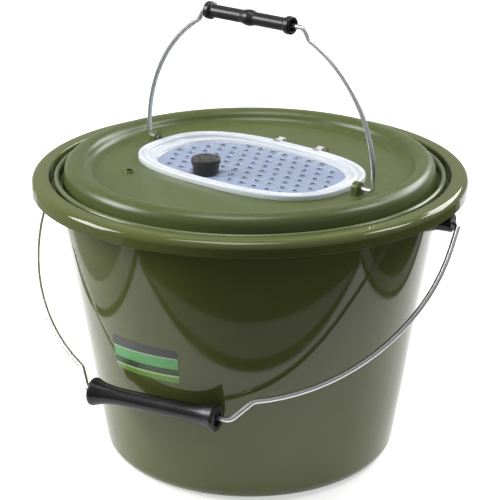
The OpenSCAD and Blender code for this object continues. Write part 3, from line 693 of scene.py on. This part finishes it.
def make_bucket():
    """Bucket turned in one profile: ring foot, wall, shoulder, gutter and rolled rim"""
    neck_z = SHOULDER_Z - WALL_T
    foot_r = wall_r(0) - BASE_ROUND / tan(radians(90 + WALL_TAPER) / 2) - FOOT_W
    profile = rounded([
        (0, FOOT_H), (foot_r, FOOT_H, 1), (foot_r, 0, 0.8), (wall_r(0), 0, BASE_ROUND),
        (wall_r(neck_z), neck_z, 0.8), (GUTTER_R + WALL_T, neck_z, 0.8),
        (GUTTER_R + WALL_T, BUCKET_H - WALL_T, 0.8),
        (RIM_R - WALL_T, BUCKET_H - WALL_T, RIM_ROUND - WALL_T),
        (RIM_R - WALL_T, BUCKET_H - COLLAR_H, 0.4), (RIM_R, BUCKET_H - COLLAR_H, 0.2),
        (RIM_R, BUCKET_H, RIM_ROUND), (GUTTER_R, BUCKET_H, 1.6), (GUTTER_R, SHOULDER_Z, 1),
        (wall_in_r(SHOULDER_Z), SHOULDER_Z, 1),
        (wall_in_r(FLOOR_Z), FLOOR_Z, BASE_ROUND - WALL_T), (0, FLOOR_Z)], steps=8)
    shell = bmesh.new()
    turned(shell, profile, 256)
    for side in (1, -1):
        stem = rounded([(0, wall_in_r(PIVOT_Z) + WALL_T / 2), (STEM_D / 2, wall_in_r(PIVOT_Z) + 1),
                        (STEM_D / 2, STEM_OUT, 0.6), (0, STEM_OUT)])
        turned(shell, stem, 32, out_of_wall(side))
    return finished(shell, "bucket_shell", GREEN)


def make_rim_ribs():
    """Ribs that stiffen the rim from below"""
    rib = bmesh.new()
    corners = [(GUTTER_R + WALL_T / 2, BUCKET_H - WALL_T / 2),
               (RIM_R - WALL_T / 2, BUCKET_H - RIM_ROUND),
               (RIM_R - WALL_T / 2, BUCKET_H - COLLAR_H + 2),
               (GUTTER_R + WALL_T / 2, BUCKET_H - COLLAR_H + 2)]
    skin(rib, [[Vector((x, y, z)) for x, z in corners] for y in (-RIB_T / 2, RIB_T / 2)], False)
    for y in (-RIB_T / 2, RIB_T / 2):
        face = [v for v in rib.verts if abs(v.co.y - y) < 0.01]
        rib.faces.new(face)
    piece = finished(rib, "rim_ribs", GREEN)
    return with_tree(piece, RING_OF, {"Count": RIM_RIBS, "Material": GREEN})


def make_bail_lug(side):
    """Black lug, flared where it meets the wall and cut to the wall's shape"""
    wall_x = wall_r(PIVOT_Z)
    hole = BAIL_WIRE_D / 2 + FIT
    flare = LUG_R + LUG_FLARE
    profile = rounded([(hole, wall_x - 6), (flare, wall_x - 6), (flare, wall_x + 1.2, 1),
                       (LUG_R, wall_x + LUG_FLARE_L, 6), (LUG_R, LUG_OUT, 1.2),
                       (hole, LUG_OUT, 0.5), (hole, STEM_OUT + SEAT),
                       (STEM_D / 2, STEM_OUT + SEAT), (STEM_D / 2, wall_x - 5.9)], True)
    piece = turned_piece("bail_lug_right" if side > 0 else "bail_lug_left", BLACK, profile, 64,
                         out_of_wall(side))
    neck_z = SHOULDER_Z - WALL_T - SEAT
    room_r = GUTTER_R + WALL_T + SEAT
    return cut_with(piece, turned_piece("bucket_room", BLACK, [
        (0, 150), (wall_r(150) + SEAT, 150), (wall_r(neck_z) + SEAT, neck_z), (room_r, neck_z),
        (room_r, BUCKET_H), (0, BUCKET_H)], 256))


def make_label():
    """Thin printed label on the wall, low on the left of the front"""
    left, right, bottom, top = radians(-114.4), radians(-87.4), 105.4, 134.6
    proud, columns, rows = 0.12, 28, 12
    sheet = bmesh.new()
    mark = sheet.verts.layers.float_vector.new("label_place")
    corner = 0.07
    grid = []
    for j in range(rows + 1):
        line = []
        for i in range(columns + 1):
            u, v = i / columns, j / rows
            edge = min(v, 1 - v)
            inset = corner * (1 - sqrt(max(0, 1 - (1 - min(1, edge / 0.1)) ** 2))) * 0.3
            along = inset + u * (1 - 2 * inset)
            angle = left + (right - left) * along
            z = bottom + (top - bottom) * v + 1.6 * (along - 0.5)
            r = wall_r(z) + proud
            vert = sheet.verts.new((r * cos(angle), r * sin(angle), z))
            vert[mark] = (u, v, 0)
            line.append(vert)
        grid.append(line)
    for a, b in zip(grid, grid[1:]):
        for i in range(columns):
            sheet.faces.new((a[i], a[i + 1], b[i + 1], b[i]))
    return finished(sheet, "printed_label", LABEL)


# ---- bail and lid handle ----


def walked(steps, start):
    """Points along a path of ("line", length) and ("bend", radius, degrees) steps"""
    x, y, heading = *start, 0.0
    points = [(x, y)]
    for kind, *size in steps:
        if kind == "line":
            x, y = x + size[0] * cos(heading), y - size[0] * sin(heading)
            points.append((x, y))
            continue
        radius, angle = size[0], radians(size[1])
        count = max(4, int(abs(size[1]) / 4))
        chord = 2 * radius * sin(abs(angle) / count / 2)
        for _ in range(count):
            heading += angle / count / 2
            x, y = x + chord * cos(heading), y - chord * sin(heading)
            heading += angle / count / 2
            points.append((x, y))
    return points


def half_wire(half_grip, span, reach, shoulder, shoulder_l, r, leg, bend, tip):
    """One half of a carrying wire, from the middle of its grip to its tip"""
    lean = radians(shoulder)
    run = span - half_grip - 2 * r * sin(lean) - shoulder_l * cos(lean) + r
    drop = reach - leg - r * (1 - 2 * cos(lean)) - shoulder_l * sin(lean)
    start = 90 - 2 * degrees(atan(run / drop))
    big = drop / cos(radians(start)) - r
    return walked([("line", half_grip), ("bend", r, shoulder), ("line", shoulder_l),
                   ("bend", r, start - shoulder), ("bend", big, 90 - start),
                   ("line", leg - bend), ("bend", bend, 90), ("line", tip)], (0, reach))


def half_bail(shift):
    return half_wire(BAIL_STRAIGHT_L / 2 + shift, BAIL_SPAN, BAIL_REACH, BAIL_SHOULDER,
                     BAIL_SHOULDER_L, SHOULDER_BEND, BAIL_LEG, BAIL_BEND, LEG_GAP + TIP_IN)


def half_handle(shift, span, bare):
    return half_wire(HANDLE_STRAIGHT_L / 2 + shift, span, HANDLE_REACH, HANDLE_SHOULDER,
                     HANDLE_SHOULDER_L, HANDLE_SHOULDER_BEND, HANDLE_LEG, HANDLE_BEND,
                     LEG_GAP + HANDLE_LUG_W - 1 + bare)


def bent_wire(name, right, left, place, diameter):
    """Wire swept along the two halves of its path, from tip to tip"""
    flat = [(-x, y) for x, y in reversed(left[1:])] + right[1:]
    path = bmesh.new()
    verts = [path.verts.new((place @ Vector((x, y, 0))) * MM) for x, y in flat]
    for a, b in zip(verts, verts[1:]):
        path.edges.new((a, b))
    return with_tree(linked(path, name), BENT_WIRE,
                     {"Radius": diameter / 2 * MM, "Material": STEEL})


def both_ways(half):
    """Outline from the middle of a grip's end to the other end"""
    return half + [(r, -x) for r, x in reversed(half)]


def make_bail_grip():
    """Black grip: slim waist, ends that flare late, and a hollow in each end"""
    h, waist, flare = BAIL_GRIP_L / 2, BAIL_GRIP_D / 2, BAIL_FLARE_D / 2
    bore = BAIL_WIRE_D / 2 + BORE_FIT
    edge = 1.5
    body = h - 2 * edge
    trumpet = [(waist + (flare - waist) * (1 - k / 24) ** BAIL_FLARE_POWER, body * (1 - k / 24))
               for k in range(25)]
    end = rounded([(bore, h - BAIL_CUP_L), (BAIL_CUP_D / 2, h - BAIL_CUP_L, 0.8),
                   (BAIL_CUP_D / 2, h, 0.8), (flare, h, 1.8), (flare, body + 0.6, 0.8),
                   (flare, body)], steps=5)
    return turned_piece("bail_handgrip", BLACK, both_ways(end + trumpet[1:]), 96,
                        IN_BAIL @ placed(GRIP_X, BAIL_REACH, 0) @ ALONG_X)


def make_handle_grip():
    """Black spool: rings at the ends, a soft swell in the middle, hollow ends"""
    h, tube, ring = HANDLE_GRIP_L / 2, HANDLE_GRIP_D / 2, HANDLE_RING_D / 2
    swell, bore = HANDLE_SWELL_D / 2, HANDLE_WIRE_D / 2 + BORE_FIT
    half = rounded([(bore, h - HANDLE_CUP_L), (HANDLE_CUP_D / 2, h - HANDLE_CUP_L, 0.8),
                    (HANDLE_CUP_D / 2, h, 0.7), (ring, h, 1.4), (ring, h - HANDLE_RING_W, 1.2),
                    (tube, h - HANDLE_RING_W - 1.5, 1.6), (tube, HANDLE_SWELL_L / 2, 6),
                    (swell, HANDLE_SWELL_L / 9, 4), (swell, 0)], steps=6)
    return turned_piece("lid_handgrip", BLACK, both_ways(half[:-1]), 80,
                        IN_HANDLE @ placed(HANDLE_GRIP_X, HANDLE_REACH, 0) @ ALONG_X)


# ---- basket ----


def drain_ring(drills, count, start, place, depth):
    """Adds a ring of drills for drain holes"""
    one = turned_piece("drill", BASKET_GREEN, [
        (0, -depth), (DRAIN_D / 2, -depth), (DRAIN_D / 2, depth), (0, depth)], 20, place)
    ring = with_tree(one, RING_OF, {"Count": count, "Start": start, "Material": BASKET_GREEN})
    drills.from_mesh(ring.data)
    bpy.data.objects.remove(ring)


def make_basket():
    """Basket turned in one profile, with a rolled lip and drilled drain holes"""
    bead_z = BUCKET_H - LIP_DROP - LIP_BEAD / 2
    basket_z = FLOOR_Z + SUMP_H
    half_t, bead = BASKET_T / 2, LIP_BEAD / 2
    roll = [(BEAD_R + bead * cos(radians(a)), bead_z + bead * sin(radians(a)))
            for a in range(-60, 241, 12)]
    profile = rounded([(0, basket_z), (basket_r(basket_z), basket_z, BASKET_ROUND),
                       (basket_r(HANG_Z), HANG_Z, 0.6), (BEAD_R + half_t, HANG_Z, 0.6),
                       (BEAD_R + half_t, bead_z - bead)])
    inner = rounded([(BEAD_R - half_t, bead_z - bead), (BEAD_R - half_t, HANG_Z + BASKET_T, 0.6),
                     (basket_in_r(HANG_Z), HANG_Z + BASKET_T, 0.8),
                     (basket_in_r(basket_z + BASKET_T), basket_z + BASKET_T,
                      BASKET_ROUND - BASKET_T), (0, basket_z + BASKET_T)])
    basket = turned_piece("basket_shell", BASKET_GREEN, profile + roll + inner, 256)
    drills = bmesh.new()
    for ring in range(DRAIN_RINGS + 1):
        drain_ring(drills, max(1, 6 * ring), 0, placed(
            ring * DRAIN_PITCH, 0, basket_z + half_t), BASKET_T)
    for row in range(WALL_ROWS):
        z = basket_z + BASKET_ROUND + DRAIN_D + row * ROW_PITCH
        lean = spun("Y", pi / 2 + radians(WALL_TAPER))
        drain_ring(drills, WALL_HOLES, row % 2 / 2,
                   placed(basket_r(z), 0, z) @ lean, 3 * BASKET_T)
    return cut_with(basket, linked(drills, "drills"))


# ---- lid ----


def dome_line(drop):
    """Stations over the domed ring, from its outer foot to the plate"""
    lean = acos(1 - (DOME_Z - PLATE_Z) / (2 * DOME_ROUND))
    out_r = DOME_R - DOME_LEAN - DOME_ROUND
    in_r = out_r - DOME_FLAT
    plate_r = in_r - 2 * DOME_ROUND * sin(lean)

    def arc(cr, cz, radius, a0, a1, steps=10):
        return [(cr + radius * cos(a0 + (a1 - a0) * i / steps),
                 cz + radius * sin(a0 + (a1 - a0) * i / steps)) for i in range(steps + 1)]

    quarter = pi / 2
    return ([(DOME_R - drop, LID_Z + FLANGE_T)]
            + arc(out_r, DOME_Z - DOME_ROUND, DOME_ROUND - drop, 0, quarter)
            + arc(in_r, DOME_Z - DOME_ROUND, DOME_ROUND - drop, quarter, quarter + lean)
            + arc(plate_r, PLATE_Z + DOME_ROUND, DOME_ROUND + drop, lean - quarter, -quarter))


def make_lid():
    """Lid: skirt, flange, domed ring and plate run into the kerb of the oblong opening"""
    kerb_out, kerb_in = HATCH_T + KERB_PLAY, KERB_IN
    kerb_top, under = PLATE_Z + KERB_H, PLATE_Z - LID_T
    skirt_z = LID_Z - SKIRT_H
    skirt_out, skirt_low = basket_in_r(LID_Z) - SKIRT_GAP, basket_in_r(skirt_z) - SKIRT_GAP
    stations = [(FLANGE_R, 0, LID_Z), (FLANGE_R, 0, LID_Z + FLANGE_T)]
    stations += [(r, 0, z) for r, z in dome_line(0)]
    stations += [oval(kerb_out - 1, PLATE_Z), oval(kerb_out, PLATE_Z),
                 oval(kerb_out, kerb_top - 0.4), oval(kerb_out + 0.4, kerb_top),
                 oval(kerb_in - 0.4, kerb_top), oval(kerb_in, kerb_top - 0.4),
                 oval(kerb_in, under)]
    stations += [(r, 0, z) for r, z in reversed(dome_line(LID_T))]
    stations += [(skirt_out - LID_T, 0, LID_Z + FLANGE_T), (skirt_low - LID_T, 0, skirt_z + 0.4),
                 (skirt_low - LID_T + 0.4, 0, skirt_z), (skirt_low - 0.4, 0, skirt_z),
                 (skirt_low, 0, skirt_z + 0.4), (skirt_out, 0, LID_Z)]
    solid = bmesh.new()
    oblong_loft(solid, stations, 288, ON_LID)
    for side in (1, -1):
        flip = ON_LID @ Matrix.Scale(side, 4, (1, 0, 0))
        out = HANDLE_LUG_SHIFT if side > 0 else 0
        arch_lug(solid, HANDLE_LUG_IN + out, HANDLE_LUG_OUT + out, HANDLE_LUG_R, HANDLE_Z, 0,
                 HANDLE_WIRE_D / 2 + FIT, flip)
        arch_lug(solid, HINGE_L / 2, HINGE_L / 2 + HINGE_LUG_W, KNUCKLE_D / 2, HINGE_Z,
                 HINGE_V, PIN_D / 2, flip)
    boss = rounded([(AIR_LINE_D / 2, PLATE_Z - LID_T), (AIR_LINE_D / 2, PLATE_Z + BOSS_H, 0.6),
                    (BOSS_D / 2 - 0.3, PLATE_Z + BOSS_H, 0.9), (BOSS_D / 2, PLATE_Z, 1.4),
                    (BOSS_D / 2 + 2.4, PLATE_Z - 0.05), (BOSS_D / 2, PLATE_Z - LID_T)], True)
    turned(solid, boss, 48, ON_LID @ placed(BOSS_U, BOSS_V, 0))
    return finished(solid, "domed_lid", LID_GREEN)


def make_hatch():
    """Translucent hatch: rolled edge over the kerb, a stepped well and a drilled floor"""
    def floor(grow, z):
        return (FLOOR_A + grow, FLOOR_B + grow, z)

    top, low = HATCH_TOP_Z, PLATE_Z + SEAT
    stations = [
        oval(0, low), oval(0, top - 1.2), oval(0.25, top - 0.45), oval(0.9, top),
        oval(2.0, top), oval(2.7, top - 0.4), oval(3.2, top - 1.1),
        oval(WELL_IN - 0.7, top - 1.1), oval(WELL_IN, top - 0.5), oval(WELL_IN + 0.5, top - 0.1),
        oval(WELL_IN + 1.2, top - 0.1), oval(WELL_IN + 1.7, top - 0.5),
        oval(WELL_IN + HATCH_T, top - 1.4),
        oval(WELL_IN + HATCH_T, STEP_Z + 0.8), oval(WELL_IN + HATCH_T + 0.7, STEP_Z),
        floor(0.9, STEP_Z), floor(0.25, STEP_Z - 0.25), floor(0, STEP_Z - 0.9),
        floor(0, WELL_Z + 0.7), floor(-0.7, WELL_Z), floor(-0.7, WELL_Z - HATCH_T),
        floor(HATCH_T, WELL_Z - HATCH_T), floor(HATCH_T, STEP_Z - HATCH_T),
        oval(WELL_IN, STEP_Z - HATCH_T), oval(WELL_IN, top - HATCH_T),
        oval(HATCH_T, top - HATCH_T), oval(HATCH_T, low)]
    edge = bmesh.new()
    oblong_loft(edge, stations, 288, ON_LID)
    leaf_y = (HATCH_B - 1.5 * HATCH_T, HINGE_V)
    leaf = rounded([(leaf_y[0], top - HATCH_T), (leaf_y[1], top - HATCH_T),
                    (leaf_y[1], top, 0.5), (leaf_y[0], top)], True)
    half = KNUCKLE_W / 2
    knuckle = rounded([(PIN_D / 2 + FIT, -half), (KNUCKLE_D / 2, -half, 0.5),
                       (KNUCKLE_D / 2, half, 0.5), (PIN_D / 2 + FIT, half)], True)
    for side in (1, -1):
        middle = side * (KNUCKLE_OUT - half)
        turned(edge, knuckle, 40,
               ON_LID @ placed(middle, HINGE_V, HINGE_Z) @ ALONG_X)
        ends = [[ON_LID @ Vector((x, y, z)) for y, z in leaf]
                for x in (middle - half, middle + half)]
        skin(edge, ends, False)
        for end in ends:
            edge.faces.new([edge.verts.new(p) for p in end])
    piece = finished(edge, "hatch_frame", MILKY_EDGE_WITH_PAINTED_HIGHLIGHT)

    plate = bmesh.new()
    hole = PLUG_D / 2 + FIT
    oblong_loft(plate, [floor(-0.7, WELL_Z), (0, 0, WELL_Z), (0, 0, WELL_Z - HATCH_T),
                        floor(-0.7, WELL_Z - HATCH_T)], 144)
    sheet = finished(plate, "hatch_floor", MILKY_FLOOR_WITH_PAINTED_SHADE)
    low, top = WELL_Z - HATCH_T - 1, WELL_Z + 1
    cut_with(sheet, turned_piece("bung_hole", MILKY_FLOOR_WITH_PAINTED_SHADE, [
        (0, low), (hole, low), (hole, top), (0, top)], 48, placed(BUNG_U, BUNG_V, 0)))
    with_tree(sheet, PERFORATED, {
        "Pitch": AIR_PITCH * MM, "Hole": AIR_D / 2 * MM, "Half Length": (FLOOR_A - AIR_D) * MM,
        "Half Width": (FLOOR_B - AIR_D) * MM, "Squareness": HATCH_N,
        "Keep Free At": (BUNG_U * MM, BUNG_V * MM, 0),
        "Keep Free Radius": (BUNG_HEAD_D + AIR_D) / 2 * MM, "Level": WELL_Z * MM,
        "Depth": (2 * HATCH_T + 2) * MM, "Material": MILKY_FLOOR_WITH_PAINTED_SHADE})
    sheet.data.transform(ON_LID)
    return piece, sheet


def make_bung():
    """Rubber bung: flanged head with a shallow dish, tapered body and a plug"""
    head_r, foot_r, plug_r = BUNG_HEAD_D / 2, BUNG_FOOT_D / 2, PLUG_D / 2
    top = BUNG_BODY_H + BUNG_HEAD_H
    low = -HATCH_T - PLUG_REACH
    profile = rounded([
        (0, low), (plug_r - 1.5, low, 0.8), (plug_r, low + 1.5, 0.8), (plug_r, 0, 0.3),
        (foot_r, 0, 0.7), (foot_r + 1.2, BUNG_BODY_H, 1.2), (head_r, BUNG_BODY_H, 1),
        (head_r, top, 1.4), (head_r - 3.2, top, 0.8), (head_r - 3.8, top - 0.7, 0.8),
        (0, top - 0.7)], steps=5)
    return turned_piece("rubber_bung", RUBBER, profile, 72,
                        ON_LID @ placed(BUNG_U, BUNG_V, WELL_Z + SEAT))


# ---- putting the pieces on their bodies ----

bail = bent_wire("bail_steel", half_bail(BAIL_SHIFT), half_bail(-BAIL_SHIFT), IN_BAIL,
                 BAIL_WIRE_D)
handle = bent_wire("lid_handle_steel",
                   half_handle(HANDLE_SHIFT, HANDLE_RIGHT_SPAN, HANDLE_BARE),
                   half_handle(-HANDLE_SHIFT, HANDLE_LEFT_SPAN, 0), IN_HANDLE, HANDLE_WIRE_D)
hatch_frame, hatch_floor = make_hatch()

for piece, body, slot, nodes in (
        (make_bucket(), "bucket", "green_plastic", ("outer_bucket",)),
        (make_rim_ribs(), "bucket", "green_plastic", ()),
        (make_label(), "bucket", "green_plastic", ()),
        (make_bail_lug(1), "bucket", "black_plastic", ("right_bail_lug",)),
        (make_bail_lug(-1), "bucket", "black_plastic", ("left_bail_lug",)),
        (bail, "bail", "wire_steel", ("bail_wire",)),
        (make_bail_grip(), "bail_grip", "black_plastic", ("bail_grip",)),
        (make_basket(), "basket", "basket_plastic", ("sieve_basket",)),
        (make_lid(), "lid", "green_plastic", ("lid",)),
        (hatch_frame, "hatch", "hatch_plastic", ("hatch",)),
        (hatch_floor, "hatch", "hatch_plastic", ()),
        (make_bung(), "bung", "bung_rubber", ("bung",)),
        (handle, "lid_handle", "wire_steel", ("lid_handle_wire",)),
        (make_handle_grip(), "lid_grip", "black_plastic", ("lid_handle_grip",))):
    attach(piece, body)
    for node in nodes:
        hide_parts(node)

for node in ("right_hinge_pin", "left_hinge_pin"):
    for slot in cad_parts[node].material_slots:
        slot.material = PIN_STEEL

# ---- studio ----


def make_floor():
    """Pale floor that shows white to the eye and in gloss, and keeps the bucket's shadow"""
    floor_r, seen_lift, gloss_lift = 9, 0.55, 0.55
    material, g, shader = new_material("pale floor")
    g.fill(shader, Base_Color=(0.86, 0.86, 0.86, 1), Roughness=0.85)
    path = g.add("ShaderNodeLightPath").outputs
    gloss = g.calc("MULTIPLY_ADD", path["Is Glossy Ray"], gloss_lift, path["Is Transmission Ray"])
    seen = g.calc("MULTIPLY_ADD", path["Is Camera Ray"], seen_lift, gloss)
    lift = g.add("ShaderNodeEmission", {"Color": (1, 1, 1, 1), "Strength": seen})
    lifted = g.add("ShaderNodeAddShader", {0: shader.outputs[0], 1: lift.outputs[0]})
    g.put(material.node_tree.nodes["Material Output"].inputs["Surface"], lifted.outputs[0])
    sheet = bmesh.new()
    bmesh.ops.create_circle(sheet, cap_ends=True, segments=96, radius=floor_r)
    floor = linked(sheet, "studio_floor")
    floor.data.materials.append(material)
    floor.location.z = -0.0002


def painted_reflection_sheet(name, azimuth, near, centre, half_width, tone, height):
    """Painted reflection: a sheet of the given tone on the floor that only the glossy wall
    mirrors, standing in for the dark lobes and light bands in the wall's reflection. The camera
    skips it. Its near edge is an
    arc: near and centre are the arc's nearest point and its centre, out from the bucket's axis."""
    far, steps = 4.0, 32
    material, g, shader = new_material("painted reflection sheet")
    g.fill(shader, Base_Color=(tone, tone, tone, 1), Roughness=1.0)
    sheet = bmesh.new()
    edges = ([], [])
    for i in range(-steps, steps + 1):
        angle = radians(half_width) * i / steps
        root = sqrt(max(0, (near - centre) ** 2 - (centre * sin(angle)) ** 2))
        start = centre * cos(angle) - copysign(root, centre)
        turn = angle + radians(azimuth)
        for line, out in zip(edges, (start, far)):
            line.append(sheet.verts.new((out * cos(turn), out * sin(turn), 0)))
    for (a, b), (d, c) in zip(zip(edges[0], edges[0][1:]), zip(edges[1], edges[1][1:])):
        sheet.faces.new((a, d, c, b))
    piece = linked(sheet, name)
    piece.data.materials.append(material)
    piece.location.z = height
    piece.visible_camera = False
    piece.visible_shadow = False


def softbox(name, place, aim, size, power):
    lamp = bpy.data.lights.new(name, "AREA")
    lamp.shape, lamp.size, lamp.size_y, lamp.energy = "RECTANGLE", size[0], size[1], power
    stand = in_scene(name, lamp)
    stand.location = place
    stand.rotation_euler = (Vector(aim) - Vector(place)).to_track_quat("-Z", "Y").to_euler()


def make_world():
    """Soft grey light all round, white to the eye and through clear plastic"""
    world = bpy.data.worlds.new("studio")
    bpy.context.scene.world = world
    world.use_nodes = True
    g = Graph(world.node_tree)
    light = world.node_tree.nodes["Background"]
    g.fill(light, Color=(0.9, 0.93, 1, 1), Strength=0.2)
    white = g.add("ShaderNodeBackground", {"Color": (1, 1, 1, 1), "Strength": 1.0})
    path = g.add("ShaderNodeLightPath").outputs
    clear = g.calc("MAXIMUM", path["Is Camera Ray"], path["Is Transmission Ray"])
    seen = g.calc("MULTIPLY_ADD", path["Is Glossy Ray"], 0.25, clear)
    mix = g.add("ShaderNodeMixShader", {0: seen, 1: light.outputs[0],
                                        2: white.outputs[0]})
    g.put(world.node_tree.nodes["World Output"].inputs["Surface"], mix.outputs[0])


def make_camera():
    """Camera fitted to the photograph: its rim centre lands at (249.5, 168) of 500"""
    azimuth, rise, distance, focal = radians(26), 0.31143, 1.4545, 1776.7
    target = Vector((0, 0, BUCKET_H * MM))
    back = Vector((sin(azimuth) * cos(rise), -cos(azimuth) * cos(rise),
                   sin(rise)))
    right = Vector((cos(azimuth), sin(azimuth), 0))
    up = back.cross(right)
    tip = atan((250 - 168) / focal)
    away = back * cos(tip) + up * sin(tip)
    lens = bpy.data.cameras.new("camera")
    lens.sensor_width = 36
    lens.lens = focal / 500 * 36
    lens.clip_end = 60
    camera = in_scene("camera", lens)
    turned_up = away.cross(right)
    basis = Matrix((right, turned_up, away)).transposed().to_4x4()
    camera.matrix_world = Matrix.Translation(target + back * distance) @ basis
    bpy.context.scene.camera = camera


make_floor()
# Painted reflection bands: dark and pale sheets round the bucket that the glossy wall mirrors as
# its dark lobes and light bands
for side, azimuth, reflection_bands in (
        ("front", -64, ((0.272, -0.72, 62, 0.01), (0.288, -0.59, 61.5, 0.45),
                        (0.334, -0.24, 61, 0.01))),
        ("left", -161, ((0.325, 1.28, 47, 0.02), (0.338, 1.2, 45, 0.8), (0.386, 1.0, 38, 0.3))),
        ("right", 23, ((0.360, 1.05, 41, 0.01), (0.370, 1.0, 39, 0.35), (0.395, 0.96, 36, 0.01)))):
    for level, (near, centre, half_width, tone) in enumerate(reflection_bands):
        painted_reflection_sheet(f"flag_{side}_{level}", azimuth, near, centre, half_width, tone,
                    0.0015 * (level + 1))
softbox("key_left", (-1.62, -0.79, 1.15), (0, 0, 0.2), (0.9, 0.9), 33)
softbox("top", (-0.1, -0.3, 2.0), (0, 0, 0.2), (0.9, 0.8), 13)
softbox("back_right", (0.7, 1.75, 1.25), (0, 0, 0.2), (1.4, 0.7), 24)
softbox("right_high", (1.25, 0.75, 1.7), (0, 0, 0.2), (0.5, 0.7), 12)
make_world()
make_camera()
bpy.context.scene.view_settings.view_transform = "Standard"
